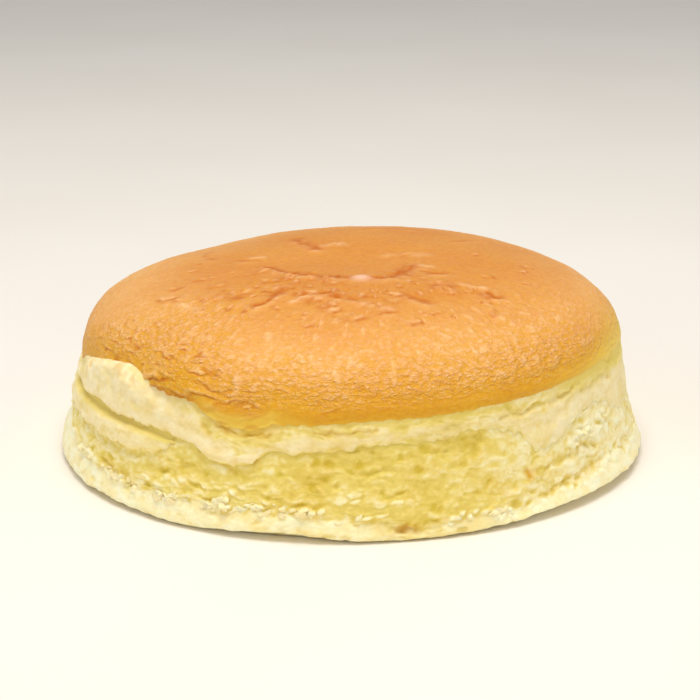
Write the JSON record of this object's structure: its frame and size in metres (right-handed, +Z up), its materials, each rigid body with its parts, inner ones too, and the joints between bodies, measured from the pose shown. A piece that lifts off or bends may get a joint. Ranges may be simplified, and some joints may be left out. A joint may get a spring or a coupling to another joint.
{
  "type": "souffle cheesecake",
  "caption": "Round souffle cheesecake with a domed browned crust, pale folds of skin and soft open crumb round its spread side.",
  "frame": {"origin": "centre of the foot, at the level the cake stands on", "axes": "+Z up out of the crown, -Y towards the front, +X to the right seen from the front"},
  "size_m": [0.16, 0.1598, 0.051],
  "materials": {
    "sponge": "soft moist baked egg sponge, pale yellow, open crumb, matte",
    "crust": "thin browned top crust, golden tan with a soft satin sheen and fine orange-peel pores",
    "skin": "smooth ivory skin of the baked side, folded where it settled"
  },
  "bodies": {
    "root": {"cheesecake": "sponge"}
  },
  "joints": []
}
